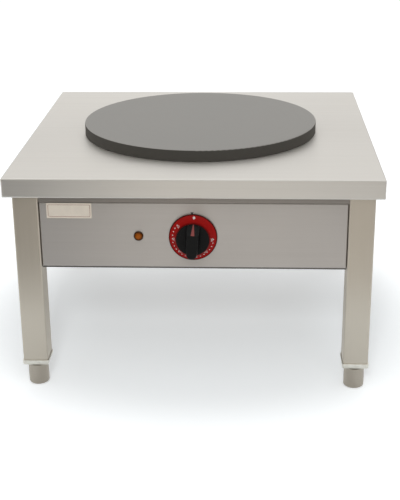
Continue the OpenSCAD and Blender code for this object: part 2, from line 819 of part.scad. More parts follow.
// A wire from one place to another that dips to a low run across the box's floor
module wire(a, b, low, lead_a, lead_b) {
    tube([a, a + lead_a, [a[0] + lead_a[0], a[1] + 2 * lead_a[1], low + 6],
        (a + lead_a) * 0.6 + (b + lead_b) * 0.4 - [0, 0, (a[2] * 0.6 + b[2] * 0.4) - low],
        [b[0] + lead_b[0], b[1] + 2 * lead_b[1], low + 6], b + lead_b, b], wire_r, 6);
}

module wiring() {
    rear = [for (x = [-terminal_pitch, 0, terminal_pitch])
        [block_x + x, block_y + block_d / 2 + slack, box_bottom + block_h / 2]];
    front = [for (x = [-terminal_pitch, 0, terminal_pitch])
        [block_x + x, block_y - block_d / 2 - slack, box_bottom + block_h / 2]];
    gland = [for (x = [-3, 0, 3])
        [supply_x + x, panel_out[0] - panel_t - gland_thread_in - slack, supply_z]];
    behind = thermostat_back + slack;
    color("saddlebrown") for (i = [0 : 2])
        tube([gland[i], gland[i] + [0, -10, -2], rear[i] + [0, 12, 6], rear[i] + [0, 6, 0],
            rear[i]], wire_r, 6);
    color("royalblue") {
        wire(front[0], [-14, behind, controls_z - 8], box_bottom + 8, [0, -10, 0], [0, 10, 0]);
        wire(front[1], [-lamp_x - 3, panel_face + lamp_l + slack, controls_z + lamp_up],
            box_bottom + 14, [0, -10, 0], [0, 10, 0]);
    }
}

// ---------- knob and shaft, which turn together ----------

// The part of a round shaft that its flat takes away, from the grip's foot
module shaft_flat_side() {
    translate([-shaft_r, shaft_r - shaft_flat, shaft_flat_from])
        cube([shaft_d, shaft_d, shaft_in]);
}

module thermostat_shaft() {
    back = -panel_t - bracket_t - thermostat_l + shaft_stop + 1;
    color("gainsboro") on_knob() difference() {
        translate([0, 0, back]) cylinder(r = shaft_r, h = grip_base + shaft_in - back);
        translate([0, 0, grip_base]) shaft_flat_side();
    }
}

// Moulded skirt of even thickness that flares from its flat rim up to the knob's body
module knob_skirt() {
    steps = 24;
    edge = 0.5;
    rim = skirt_d / 2 - edge;
    curve = [for (i = [0 : steps])
        [rim - (rim - skirt_hub_r) * i / steps, skirt_rise * pow(i / steps, skirt_flare)]];
    upper = [for (p = curve) p + [0, skirt_t]];
    lower = [for (i = [steps : -1 : 0]) curve[i]];
    color("firebrick") on_knob() translate([0, 0, skirt_gap]) rotate_extrude() polygon(concat(
        [[rim + edge, edge], [rim + edge, skirt_t - edge]], upper,
        [[shaft_d, skirt_rise + skirt_t], [shaft_d, skirt_rise]], lower));
}

// Side view of the grip bar: full height at its tail, sloped down to the rim at the pointer
module bar_side() {
    top = knob_proud - grip_base;
    polygon([[-grip_d / 2 - 1, 0], [grip_d / 2 + 1, 0], [grip_d / 2 + 1, grip_low / 2],
        [grip_d / 2, grip_low], [pointer_r, top], [-grip_d / 2 - 1, top]]);
}

module knob_grip() {
    r = grip_d / 2;
    flare = 8;             // degrees by which the bar widens towards the body
    top = knob_proud - grip_base;
    color("black") on_knob() translate([0, 0, grip_base]) difference() {
        union() {
            turned(r, grip_low, 0.5, 0.1);
            intersection() {
                turned(r, top, 2.5, 0.1);
                translate([-r, 0, 0]) rotate([90, 0, 90]) linear_extrude(2 * r) bar_side();
                union() for (s = [-1, 1]) translate([s * bar_w / 2, 0, top])
                    rotate([0, -s * flare, 0]) translate([s > 0 ? -bar_w : 0, -r, -2 * top])
                        cube([bar_w, 2 * r, 3 * top]);
            }
        }
        difference() {
            translate([0, 0, -eps]) cylinder(r = shaft_r, h = shaft_in + eps);
            shaft_flat_side();
        }
        pointer_strip(3);
    }
}

// The pointer's tapered strip, sunk into the sloped end of the bar and standing proud of it
module pointer_strip(proud) {
    sunk = 0.8;
    wide = 2.8;            // half of the strip's width at the top of the slope
    narrow = 0.8;          // half of its width at the rim
    run = grip_d / 2 - pointer_r;
    rise = knob_proud - grip_base - grip_low;
    tilt = atan(rise / run);
    l = norm([run, rise]);
    translate([0, pointer_r, grip_low + rise]) rotate([-tilt, 0, 0]) translate([0, 0, -sunk])
        linear_extrude(sunk + proud) polygon([
            [-wide, 0.8], [wide, 0.8], [narrow, l - 0.5], [-narrow, l - 0.5]]);
}

module knob_pointer() {
    color("red") on_knob() translate([0, 0, grip_base]) pointer_strip(0.2);
}

// ---------- feet ----------

module foot_sole(side_x, side_y) {
    color("dimgray") translate([side_x * leg_x, side_y * leg_y, 0])
        turned(sole_r, sole_proud + sole_t, 0.2, 0.8);
}

// Steel cup with a slightly barrelled side and its screw, which turn as one
module foot(side_x, side_y) {
    cup_top = foot_h - foot_gap;
    cup_h = cup_top - sole_proud;
    barrel_r = 500;
    color("silver") translate([side_x * leg_x, side_y * leg_y, 0]) difference() {
        union() {
            translate([0, 0, sole_proud]) rotate_extrude() intersection() {
                edge_profile(foot_d, cup_h, 1.2, 3.5);
                translate([foot_d / 2 - barrel_r, 0.4 * cup_h]) circle(barrel_r, $fn = 2880);
                square([foot_d, cup_h]);
            }
            translate([0, 0, cup_top - 1])
                cylinder(d = foot_screw_d, h = foot_screw_top - cup_top + 1);
        }
        translate([0, 0, sole_proud - eps]) cylinder(r = sole_r + running, h = sole_t + eps);
    }
}

worktop();
leg(-1, -1);  // leg_front_left
leg(1, -1);  // leg_front_right
leg(-1, 1);  // leg_rear_left
leg(1, 1);  // leg_rear_right
leg_inserts();
rail(0);  // front_rail
rail(2);  // rear_rail
union() { rail(1); rail(3); }  // side_rails
control_panel();
rear_panel();
left_panel();
right_panel();
base_cover();
panel_screws();
base_cover_screws();
griddle_plate();
plate_gasket();
plate_studs();
plate_nuts();
element_clamp();
inner_element();
outer_element();
insulation_pad();
reflector_pan();
pan_fixings();
support_bars();
support_bar_bolts();
thermostat_body();
thermostat_bracket();
thermostat_screws();
thermostat_bulb();
bulb_clip();
thermostat_capillary();
lamp_bezel();
lamp_lens();
lamp_body();
lamp_nut();
terminal_block();
terminal_screws();
wiring();
cable_gland();
gland_cap();
gland_seal();
gland_locknut();
earth_stud();
label_plate();
thermostat_shaft();
knob_skirt();
knob_grip();
knob_pointer();
foot_sole(-1, -1);  // foot_sole_fl
foot_sole(1, -1);  // foot_sole_fr
foot_sole(-1, 1);  // foot_sole_rl
foot_sole(1, 1);  // foot_sole_rr
foot(-1, -1);  // foot_fl
foot(1, -1);  // foot_fr
foot(-1, 1);  // foot_rl
foot(1, 1);  // foot_rr
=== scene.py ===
"""Electric crepe maker: finishes, knob, dial, pilot lamp, label, cable gland and studio.

Everything is in metres, with X to the right, Y to the back and Z up from the floor. The knob's pieces
are worked out in the dial's own directions, right, up and out of the panel, and then placed."""

import json
import math
from functools import partial

import bpy
import numpy as np
from bpy.props import FloatProperty, FloatVectorProperty, IntProperty, PointerProperty
from mathutils import Matrix, Vector


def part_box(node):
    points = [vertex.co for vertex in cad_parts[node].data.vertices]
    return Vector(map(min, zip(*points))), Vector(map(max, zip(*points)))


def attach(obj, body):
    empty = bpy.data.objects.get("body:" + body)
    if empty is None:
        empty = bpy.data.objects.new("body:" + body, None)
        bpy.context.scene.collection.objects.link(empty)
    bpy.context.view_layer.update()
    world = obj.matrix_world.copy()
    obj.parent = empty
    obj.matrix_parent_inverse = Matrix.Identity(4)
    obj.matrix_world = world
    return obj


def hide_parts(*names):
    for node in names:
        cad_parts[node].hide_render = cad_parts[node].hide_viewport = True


bl_info = {
    "name": "Electric Crepe Maker",
    "version": (1, 0, 0),
    "blender": (4, 5, 0),
    "location": "View3D > Sidebar > Crepe Maker",
    "description": "Finishes a packed crepe maker and sets up its studio",
    "category": "Object",
}

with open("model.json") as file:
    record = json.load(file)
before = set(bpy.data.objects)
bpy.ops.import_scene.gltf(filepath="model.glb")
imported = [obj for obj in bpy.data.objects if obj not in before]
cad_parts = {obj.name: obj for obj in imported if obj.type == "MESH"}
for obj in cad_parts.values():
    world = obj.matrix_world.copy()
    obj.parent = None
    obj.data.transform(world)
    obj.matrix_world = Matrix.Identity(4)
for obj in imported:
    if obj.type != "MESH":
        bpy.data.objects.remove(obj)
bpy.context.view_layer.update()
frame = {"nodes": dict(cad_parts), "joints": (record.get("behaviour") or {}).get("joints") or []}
MM = 0.001
PRINT_LIFT = 0.06 * MM          # how far printed marks stand proud of their ground
PRINT_SINK = 0.04 * MM          # how far their underside is sunk into it
FLARE_POWER = 1.84              # how the skirt's face rises from its rim to the hub
LEGS = ("leg_front_left", "leg_front_right", "leg_rear_left", "leg_rear_right")
CORNERS = ("fl", "fr", "rl", "rr")


# ---------- settings ----------

def colour(name, text, value):
    """A colour setting in linear light."""
    return FloatVectorProperty(
        name=name, description=text, default=value, subtype="COLOR", min=0, max=1)


def number(name, text, value, **kind):
    """A number setting that isn't negative."""
    return FloatProperty(name=name, description=text, default=value, min=0, **kind)


length = partial(number, unit="LENGTH", precision=5)    # in metres
share = partial(number, subtype="FACTOR", max=1)        # from 0 to 1
power = partial(number, unit="POWER")                   # in watts
angle = partial(number, subtype="ANGLE")                # in radians


class StudioSettings(bpy.types.PropertyGroup):
    ceiling_power: power("Ceiling", "Power of the wide lamp overhead", 24.0)
    front_power: power("Front", "Power of the wide lamp above the camera", 9.0)
    flash_power: power("Flash", "Power of the small lamp just above the camera", 10.0)
    side_power: power("Sides", "Power of the two lamps at the sides", 2.0)
    sky_level: share("Sky level", "Brightness of the surroundings as diffuse light", 0.50)
    room_level: share("Room level", "Brightness of the room's front and sides in reflections", 0.38)
    room_colour: colour("Room", "Colour of the room's front and sides in reflections",
                        (1.0, 0.95, 0.89))
    low_white: share("Low white", "Brightness of the white behind where it is low, as a share", 0.46)
    floor_colour: colour("Floor", "Colour of the floor", (0.82, 0.86, 0.885))
    floor_lift: share("Floor lift", "Brightness added to the floor where it is seen", 0.28)
    far_lift: share("Far lift", "Brightness added to the floor away from the object", 0.30)
    rear_lift: share("Rear lift", "Brightness added to the floor between the rear legs", 0.12)
    floor_shine: share("Floor shine", "Brightness added to the floor where it is mirrored", 0.25)
    card_level: share("Card level", "Brightness of the card in front at its brightest", 0.70)
    card_left: share("Card left", "Share of that brightness in the band on the card's left", 0.21)
    card_right: share("Card right", "Share of that brightness at the card's right", 0.62)


class SteelSettings(bpy.types.PropertyGroup):
    worktop_colour: colour("Worktop", "Colour of the worktop's steel", (0.84, 0.815, 0.765))
    leg_colour: colour("Legs", "Colour of the legs' steel", (0.67, 0.613, 0.522))
    # painted shade: the panels are the worktop's steel, made darker for the shade under the worktop's
    # lip
    panel_shaded_colour: colour("Panels", "Colour of the box panels' steel", (0.66, 0.625, 0.59))
    # painted shade: the rails are darker for the shade under the worktop's lip, where the front rail
    # shows
    rail_shaded_colour: colour("Rails", "Colour of the rails", (0.365, 0.335, 0.305))
    # painted shade: the base cover is dark for the shade line under the panels' bottom edges
    cover_shaded_colour: colour("Base cover", "Colour of the base cover", (0.20, 0.19, 0.18))
    foot_colour: colour("Feet", "Colour of the feet", (0.54, 0.49, 0.42))
    collar_colour: colour("Collars", "Colour of the cast collars above the feet", (0.96, 0.90, 0.79))
    roughness: share("Roughness", "Mean roughness of the brushed steel", 0.36)
    metal: share("Metal", "Share of mirror-like reflection in the satin-brushed sheet", 0.93)
    leg_metal: share("Leg metal", "The same share in the legs", 0.80)
    rail_metal: share("Rail metal", "The same share in the front and rear rails", 0.75)


class PlateSettings(bpy.types.PropertyGroup):
    iron_colour: colour("Iron", "Colour of the griddle plate", (0.150, 0.143, 0.127))
    # painted shade on the plate's side, as a share of the top's colour
    side_share: share("Side", "Brightness of the burnt side as a share of the top's", 0.72)
    roughness: share("Roughness", "Mean roughness of the turned iron", 0.34)
    groove_pitch: length("Groove pitch", "Distance between the turning marks", 1.1 * MM)


class KnobSettings(bpy.types.PropertyGroup):
    body_height: length("Body height", "Height of the grip's round body beside its bar", 1.2 * MM)
    body_edge: length("Body edge", "Radius of the round body's edge", 0.5 * MM)
    dish: length("Dish", "How far the body's face sinks towards the bar", 0.7 * MM)
    bar_width: length("Bar width", "Width of the grip bar at its top", 18.0 * MM)
    foot_width: length("Bar foot width", "Width of the grip bar where it meets the body", 22.8 * MM)
    slope_start: length("Slope start", "Height above the axis where the bar starts to slope",
                        12.7 * MM)
    edge_radius: length("Edge radius", "Radius of the bar's upper edges", 1.4 * MM)
    tail_radius: length("Tail radius", "Radius of the bar's upper edge at its tail", 2.8 * MM)
    skirt_wall: length("Skirt wall", "Thickness of the skirt along the knob's axis", 2.0 * MM)
    # painted shade: width of the darkened ring at the skirt's rim
    rim_shade_ring: length("Rim ring", "Width of the dark ring at the skirt's rim", 1.2 * MM)
    red: colour("Red", "Colour of the skirt", (0.34, 0.006, 0.005))
    pointer_red: colour("Pointer red", "Colour of the pointer", (0.27, 0.050, 0.045))
    black: colour("Black", "Colour of the grip", (0.0076, 0.0079, 0.0078))


class DialSettings(bpy.types.PropertyGroup):
    numbers: IntProperty(
        name="Numbers", description="How many numbers the dial has", default=6, min=1)
    step: IntProperty(
        name="Step", description="Degrees Celsius from one number to the next", default=50)
    first_angle: angle("First angle", "Angle of the first number, counter-clockwise from the top",
                       math.radians(52.5))
    pitch_angle: angle("Pitch", "Angle from one number to the next", math.radians(43.5))
    dots: IntProperty(
        name="Dots", description="Dots between two numbers; each number has one too", default=3, min=0)
    mark_radius: length("Mark radius", "Radius of the ring of numbers", 29.3 * MM)
    dot_ring: length("Dot ring", "Radius of the ring of dots", 31.7 * MM)
    digit_size: length("Digit size", "Height of the text of the numbers", 3.9 * MM)
    dot_radius: length("Dot radius", "Radius of a dot", 0.85 * MM)
    diamond_size: length("Diamond", "Height of the diamond at the zero place", 4.6 * MM)
    diamond_ring: length("Diamond ring", "Radius at which the diamond stands", 32.8 * MM)
    index_size: length("Index", "Height of the index mark on the panel", 3.4 * MM)
    index_left: length("Index offset", "How far the index mark stands left of the axis", 1.3 * MM)
    white: colour("White", "Colour of the marks on the skirt", (0.80, 0.78, 0.76))
    ink: colour("Ink", "Colour of the index mark", (0.035, 0.032, 0.03))


class LampSettings(bpy.types.PropertyGroup):
    facets: IntProperty(name="Facets", description="Facets round the lens", default=10, min=3)
    amber: colour("Amber", "Colour of the lens", (0.29, 0.070, 0.001))
    bezel: colour("Bezel", "Colour of the ring round the lens", (0.045, 0.016, 0.004))


class LabelSettings(bpy.types.PropertyGroup):
    face: colour("Face", "Colour of the blank label", (0.77, 0.69, 0.59))
    border: colour("Border", "Colour of the label's printed border", (0.30, 0.10, 0.07))
    border_inset: length("Border inset", "Distance from the label's edge to its border", 2.4 * MM)
    border_width: length("Border width", "Width of the printed border", 0.55 * MM)
    corner: length("Corner", "Radius of the border's outer corners", 2.0 * MM)


# ---------- shader maths ----------

class Value:
    """A number socket that takes part in arithmetic: each operator adds one Math node."""

    def __init__(self, shade, socket):
        self.shade = shade
        self.socket = socket

    def math(self, operation, *others, **settings):
        inputs = dict(enumerate((self,) + others))
        return self.shade.node("Math", inputs, operation=operation, **settings)

    def __add__(self, other):
        return self.math("ADD", other)

    def __sub__(self, other):
        return self.math("SUBTRACT", other)

    def __rsub__(self, other):
        return self.shade.node("Math", {0: other, 1: self}, operation="SUBTRACT")

    def __mul__(self, other):
        return self.math("MULTIPLY", other)

    def __truediv__(self, other):
        return self.math("DIVIDE", other)

    def __pow__(self, other):
        return self.math("POWER", other)

    __radd__ = __add__
    __rmul__ = __mul__

    def clamp(self):
        return self.math("ADD", 0.0, use_clamp=True)

    def swing(self, amount):
        """A noise from 0 to 1 as a change about nothing, whose ends are an amount apart."""
        return (self - 0.5) * amount

    def ramp(self, start, end):
        """0 before start, 1 after end and a smooth step between."""
        return self.shade.node(
            "MapRange", {"Value": self, "From Min": start, "From Max": end},
            interpolation_type="SMOOTHSTEP")


class Shade:
    """One node tree, of a material or of the world, built by expressions."""

    def __init__(self, owner):
        self.owner = owner
        owner.use_nodes = True
        self.tree = owner.node_tree
        self.tree.nodes.clear()

    def node(self, kind, inputs=None, output=0, **settings):
        """Adds a node: its settings come first, and then its inputs by name or place."""
        new = self.tree.nodes.new("ShaderNode" + kind)
        for key, value in settings.items():
            setattr(new, key, value)
        for key, value in (inputs or {}).items():
            if isinstance(value, Value):
                self.tree.links.new(value.socket, new.inputs[key])
            else:
                new.inputs[key].default_value = value
        return Value(self, new.outputs[output])

    def axes(self, source="Object"):
        """X, Y and Z of the shaded point in metres, or for the world of a ray's direction."""
        point = self.node("TexCoord", output=source)
        return [self.node("SeparateXYZ", {0: point}, output=axis) for axis in "XYZ"]

    def noise(self, x, y, z, detail=2.0, roughness=0.5):
        """Noise from 0 to 1 at a point that is given as three numbers or expressions."""
        point = self.node("CombineXYZ", {0: x, 1: y, 2: z})
        return self.node("TexNoise", {
            "Vector": point, "Scale": 1.0, "Detail": detail, "Roughness": roughness}, output="Fac")

    def speckle(self, place, scale, detail=2.0, roughness=0.5):
        """Noise that is alike in every direction; scale is in cycles a metre."""
        return self.noise(*[axis * scale for axis in place], detail=detail, roughness=roughness)

    def blend(self, factor, first, second):
        """Mixes two colours, each given as three numbers or a colour socket."""
        mix = {6: first, 7: second}
        full = {key: tone if isinstance(tone, Value) else (*tone, 1.0) for key, tone in mix.items()}
        return self.node("Mix", {0: factor, **full}, output=2, data_type="RGBA")

    def bump(self, height, strength, distance, normal=None):
        """Turns a height from 0 to 1 into a normal; distance is the height's depth in metres."""
        inputs = {"Height": height, "Strength": strength, "Distance": distance}
        if normal:
            inputs["Normal"] = normal
        return self.node("Bump", inputs)

    def principled(self, **inputs):
        """Ends the tree in a Principled shader; names are its sockets' with spaces as underscores."""
        self.finish(self.node("BsdfPrincipled", {
            key.replace("_", " "): value for key, value in inputs.items()}))
        return self.owner

    def finish(self, shader, kind="OutputMaterial"):
        """Links a shader to the tree's output."""
        end = self.tree.nodes.new("ShaderNode" + kind)
        self.tree.links.new(shader.socket, end.inputs["Surface"])


def new_shade(name):
    """A new material's node tree."""
    return Shade(bpy.data.materials.new(name))


def tint(tone, factor):
    """A colour made lighter or darker by a factor."""
    return tuple(min(1.0, part * factor) for part in tone)


# ---------- finishes ----------

def brushed_steel(name, tone, roughness, grain="X", smudge=0.05, spread=0.75, depth=1.0, metal=1.0):
    """Brushed sheet: fine grain and broader streaks along one axis, and faint handling marks. depth
    makes the grain stronger, and a lower share of metal gives the dull bloom of a fine satin brush.
    A highlight spreads across the grain: the shader's own tangent runs round Z, so it is turned a
    quarter for a level grain."""
    shade = new_shade(name)
    place = shade.axes()

    def lines(across, along, detail):
        """Noise that is stretched along the grain; both scales are in cycles a metre."""
        scales = [along if axis == grain else across for axis in "XYZ"]
        return shade.noise(*[axis * scale for axis, scale in zip(place, scales)], detail=detail)

    fine = lines(900.0, 6.0, 3.0)
    streaks = lines(120.0, 2.2, 2.0)
    marks = shade.speckle(place, 7.0, 4.0, 0.6)
    warmth = shade.speckle(place, 3.1, 1.0)
    wear_and_highlight = (fine.swing(0.16) + streaks.swing(0.10)) * depth + marks.swing(smudge)
    cooler = (tone[0] * 0.985, tone[1] * 0.995, tone[2] * 1.015)
    clean = shade.blend(warmth.swing(1.6) + 0.5, tone, cooler)
    shaded = shade.blend((0.5 + wear_and_highlight * 2.0).clamp(), tint(tone, 0.86), clean)
    return shade.principled(
        Base_Color=shaded,
        Metallic=metal,
        Roughness=(roughness + fine.swing(0.12) + marks.swing(0.16)).clamp(),
        Anisotropic=spread,
        Anisotropic_Rotation=0.0 if grain == "Z" else 0.25,
        Normal=shade.bump(fine, 0.14 * depth, 0.05 * MM))


def turned_steel(name, tone, roughness):
    """Machined steel with fine rings round upright axes: noise that changes fast along Z only."""
    shade = new_shade(name)
    x, y, z = shade.axes()
    rings = shade.noise(x * 8.0, y * 8.0, z * 2600.0)
    marks = shade.speckle((x, y, z), 60.0, 3.0)
    shaded = shade.blend((rings.swing(0.8) + 0.5).clamp(), tint(tone, 0.80), tone)
    return shade.principled(
        Base_Color=shaded,
        Metallic=1.0,
        Roughness=(roughness + rings.swing(0.14) + marks.swing(0.14)).clamp(),
        Normal=shade.bump(rings, 0.18, 0.06 * MM))


def griddle_iron(settings):
    """Turned and seasoned cast iron: rings that follow the radius, fine pores, a painted highlight
    along the top rim and painted shade on the side. The side and the rim are told by the radius and the
    height as shares of the plate's."""
    shade = new_shade("griddle_iron")
    x, y, z = shade.axes()
    radius = (x * x + y * y) ** 0.5
    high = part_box("griddle_plate")[1]
    outward, upward = radius / high.x, z / high.z
    pitch = settings.groove_pitch
    grooves = shade.noise(radius / pitch, z / pitch, x * 3.0)
    pores = shade.speckle((x, y, z), 900.0)
    seasoning = shade.speckle((x, y, z), 6.0, 4.0, 0.55)
    oiled = (seasoning.swing(1.5) + grooves.swing(0.5) + 0.5).clamp()
    top = shade.blend(oiled, tint(settings.iron_colour, 0.86), tint(settings.iron_colour, 1.14))
    # painted shade darkens the side, and a painted highlight lightens a band along the top rim
    side = outward.ramp(0.9970, 0.9990)
    wear_and_highlight = outward.ramp(0.989, 0.9965) * upward.ramp(0.994, 0.9985) * (1 - side)
    shadowed = shade.blend(side, top, tint(settings.iron_colour, settings.side_share))
    shaded = shade.blend(wear_and_highlight * 0.30, shadowed, tint(settings.iron_colour, 2.0))
    scale = side * 0.6
    return shade.principled(
        Base_Color=shaded,
        Metallic=scale,
        IOR=2.05,
        Roughness=(settings.roughness + scale + seasoning.swing(0.16) + pores.swing(0.10)).clamp(),
        Normal=shade.bump(pores, 0.12, 0.04 * MM, shade.bump(grooves, 0.30, 0.05 * MM)))


def moulded_plastic(name, tone, roughness, texture=0.10, gloss=0.5, scale=1500.0, darker=None):
    """Moulded plastic: a fine spark-eroded texture, with faint wear in its gloss. darker is an optional
    function of X, Y and Z that says where painted shade makes the plastic much darker, from 0 to 1."""
    shade = new_shade(name)
    place = shade.axes()
    spark = shade.speckle(place, scale)
    handling = shade.speckle(place, 90.0, 3.0)
    shaded = shade.blend(handling.swing(0.9) + 0.5, tint(tone, 0.90), tint(tone, 1.10))
    if darker:
        # painted shade, where darker says so
        shaded = shade.blend(darker(*place), shaded, tint(tone, 0.18))
    return shade.principled(
        Base_Color=shaded,
        Roughness=(roughness + handling.swing(0.14) + spark.swing(0.08)).clamp(),
        Specular_IOR_Level=gloss,
        Normal=shade.bump(spark, texture, 0.03 * MM))


def skirt_plastic(settings, centre):
    """Red plastic of the skirt, with painted shade: a dark ring where the radius comes near the rim,
    and a softer one where it comes near the hub."""
    ring = half_width("knob_skirt") - settings.rim_shade_ring
    hub = half_width("knob_grip")

    # painted shade on the rim's turned edge and in the corner at the hub
    def rings(x, _, z):
        radius = ((x - centre.x) ** 2 + (z - centre.z) ** 2) ** 0.5
        inner = 1 - radius.ramp(hub + 0.2 * MM, hub + 3.0 * MM)
        return radius.ramp(ring - 0.4 * MM, ring + 0.2 * MM) + inner * 0.75

    return moulded_plastic("red_plastic", settings.red, 0.36, texture=0.06, gloss=0.10, darker=rings)


def printed(name, tone):
    """Pad-printed ink with a slightly uneven film."""
    shade = new_shade(name)
    film = shade.speckle(shade.axes(), 700.0)
    return shade.principled(
        Base_Color=shade.blend(film, tint(tone, 0.90), tone), Roughness=0.42 + film.swing(0.16))


def amber_lens(settings):
    """Amber plastic lens, lighter in the middle and darker towards the rim."""
    shade = new_shade("amber_lens")
    x, y, z = shade.axes()
    middle_x, _, middle_z = middle("lamp_lens")
    reach = (((x - middle_x) ** 2 + (z - middle_z) ** 2) ** 0.5) / half_width("lamp_lens")
    cloud = shade.speckle((x, y, z), 500.0, 1.0)
    shaded = shade.blend(reach.ramp(0.25, 1.0), tint(settings.amber, 1.25), tint(settings.amber, 0.55))
    return shade.principled(
        Base_Color=shaded,
        Roughness=0.16 + cloud.swing(0.08),
        Specular_IOR_Level=0.15,
        Coat_Weight=0.08,
        Coat_Roughness=0.06)


def sheath(name, tone, roughness, scale=220.0):
    """Drawn, cast or heat-tinted metal with a mottled skin."""
    shade = new_shade(name)
    mottle = shade.speckle(shade.axes(), scale, 4.0, 0.6)
    return shade.principled(
        Base_Color=shade.blend(mottle, tint(tone, 0.72), tint(tone, 1.18)),
        Metallic=1.0,
        Roughness=(roughness + mottle.swing(0.24)).clamp(),
        Normal=shade.bump(mottle, 0.12, 0.05 * MM))


def pressed_fibre():
    """Pressed mineral fibre: two crossed layers of noise, each stretched along its strands."""
    shade = new_shade("fibre")
    x, y, z = shade.axes()
    across, along = 420.0, 60.0
    strands = shade.noise(x * across, y * along, z * across, 4.0, 0.7)
    crossed = shade.noise(x * along, y * across, z * across, 4.0, 0.7)
    felt = strands * 0.5 + crossed * 0.5
    shaded = shade.blend(felt, (0.52, 0.47, 0.38), (0.82, 0.79, 0.70))
    return shade.principled(
        Base_Color=shaded, Roughness=0.9, Normal=shade.bump(felt, 0.6, 0.3 * MM))


def rubber(name, tone):
    """Matt rubber with a fine bloom."""
    shade = new_shade(name)
    bloom = shade.speckle(shade.axes(), 300.0, 3.0)
    return shade.principled(
        Base_Color=shade.blend(bloom, tint(tone, 0.8), tint(tone, 1.5)),
        Roughness=0.78 + bloom.swing(0.2),
        Normal=shade.bump(bloom, 0.1, 0.05 * MM))


# ---------- the frame's places ----------

def half_width(node):
    """Half of a CAD node's width."""
    low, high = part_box(node)
    return (high.x - low.x) / 2


def middle(node):
    """The middle of a CAD node's box."""
    return [(low + high) / 2 for low, high in zip(*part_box(node))]


def knob_joint():
    """The joint on which the knob turns."""
    return next(joint for joint in frame["joints"] if joint["name"] == "knob_turn")


def knob_axis():
    """Where the knob's axis meets the control panel."""
    return Vector(knob_joint()["pos_m"])


def paint(nodes, material):
    """Gives CAD nodes their finish."""
    for node in nodes:
        mesh = frame["nodes"][node].data
        mesh.materials.clear()
        mesh.materials.append(material)


def new_object(name, data):
    """A new object in the scene."""
    made = bpy.data.objects.new(name, data)
    bpy.context.scene.collection.objects.link(made)
    return made


def add_piece(name, mesh, material, body, smooth=None, replaced=()):
    """Puts a finished mesh into the scene on a body; edges sharper than the angle smooth stay sharp."""
    piece = new_object(name, mesh)
    mesh.materials.append(material)
    if smooth is not None:
        mesh.shade_smooth()
        mesh.set_sharp_from_angle(angle=math.radians(smooth))
    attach(piece, body)
    if replaced:
        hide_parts(*replaced)


# ---------- surfaces ----------

def grid_faces(rows, columns, ring=False):
    """Quads between the points of a grid whose columns close round; ring also joins its last row to
    its first."""
    row = np.arange(rows if ring else rows - 1)[:, None]
    column = np.arange(columns)[None, :]
    below, after = (row + 1) % rows, (column + 1) % columns
    corners = (row * columns + column, row * columns + after,
               below * columns + after, below * columns + column)
    return np.stack(np.broadcast_arrays(*corners), axis=-1).reshape(-1, 4)


def new_mesh(name, points, faces):
    """A mesh from an array of points and a list of faces."""
    mesh = bpy.data.meshes.new(name)
    mesh.from_pydata(points.reshape(-1, 3).tolist(), [], faces)
    mesh.update()
    return mesh


def mesh_of(name, shells):
    """One mesh from shells, each a grid of points whose columns close round, with both ends capped."""
    points, faces, count = [], [], 0
    for grid in shells:
        rows, columns = grid.shape[:2]
        points.append(grid.reshape(-1, 3))
        faces += (grid_faces(rows, columns) + count).tolist()
        first = np.arange(columns)[::-1] + count
        faces += [first.tolist(), (np.arange(columns) + count + (rows - 1) * columns).tolist()]
        count += rows * columns
    mesh = new_mesh(name, np.concatenate(points), faces)
    mesh.validate()
    return mesh


def ring_mesh(name, grid):
    """A closed ring from a grid of points whose rows and columns both close round."""
    return new_mesh(name, grid, grid_faces(*grid.shape[:2], ring=True).tolist())


def turned_shell(radii, depths, segments, lobes=None):
    """A profile turned about the dial's axis: point (r, d) goes to (r cos a, r sin a, d).
    lobes is an optional function of the angles and the number of rows that is added to the radius."""
    angles = np.linspace(0, 2 * np.pi, segments, endpoint=False)[None, :]
    radius = np.asarray(radii)[:, None] + (lobes(angles, len(radii)) if lobes else 0)
    depth = np.broadcast_to(np.asarray(depths)[:, None], (len(radii), segments))
    return np.stack([radius * np.cos(angles), radius * np.sin(angles), depth], axis=-1)


def arc(radius, start, end, count):
    """Points of an arc from its start to its end in degrees: (r cos a) and (r sin a) as two arrays."""
    turn = np.radians(np.linspace(start, end, count))
    return radius * np.cos(turn), radius * np.sin(turn)


def regular(corners, radius, start=0.0):
    """Corners of a regular polygon."""
    turn = start + np.linspace(0, 2 * np.pi, corners, endpoint=False)
    return np.stack([radius * np.cos(turn), radius * np.sin(turn)], axis=-1)


def rounded_rectangle(width, height, radius):
    """Outline of a rectangle with round corners: a quarter circle about each corner's centre."""
    corner_points = 8
    loops = []
    for start, side_x, side_y in ((0, 1, 1), (90, -1, 1), (180, -1, -1), (270, 1, -1)):
        across, up = arc(radius, start, start + 90, corner_points)
        loops.append(np.stack([side_x * (width / 2 - radius) + across,
                               side_y * (height / 2 - radius) + up], axis=-1))
    return np.concatenate(loops)


def at_depths(levels):
    """A grid whose rows are flat outlines, each given with its depth."""
    return np.stack([np.concatenate([flat, np.full((len(flat), 1), depth)], axis=1)
                     for flat, depth in levels])


def prism(outline):
    """A flat outline as a thin print: two copies of it, at the print's underside and at its face."""
    return at_depths(((np.asarray(outline), -PRINT_SINK), (np.asarray(outline), PRINT_LIFT)))


def on_panel(points, centre):
    """Turns right, up and out of the control panel into X, Z and -Y from a centre."""
    turned = np.stack([points[..., 0], -points[..., 2], points[..., 1]], axis=-1)
    return turned + np.array(centre)


def on_knob(points, centre):
    """Turns the knob's own directions clockwise by the angle at which it stands past its zero mark,
    (r cos a + u sin a, u cos a - r sin a), and then puts them on the control panel."""
    past = math.radians(-knob_joint()["range_deg"][0])
    cos, sin = math.cos(past), math.sin(past)
    across, up, out = points[..., 0], points[..., 1], points[..., 2]
    return on_panel(np.stack([across * cos + up * sin, up * cos - across * sin, out], axis=-1), centre)


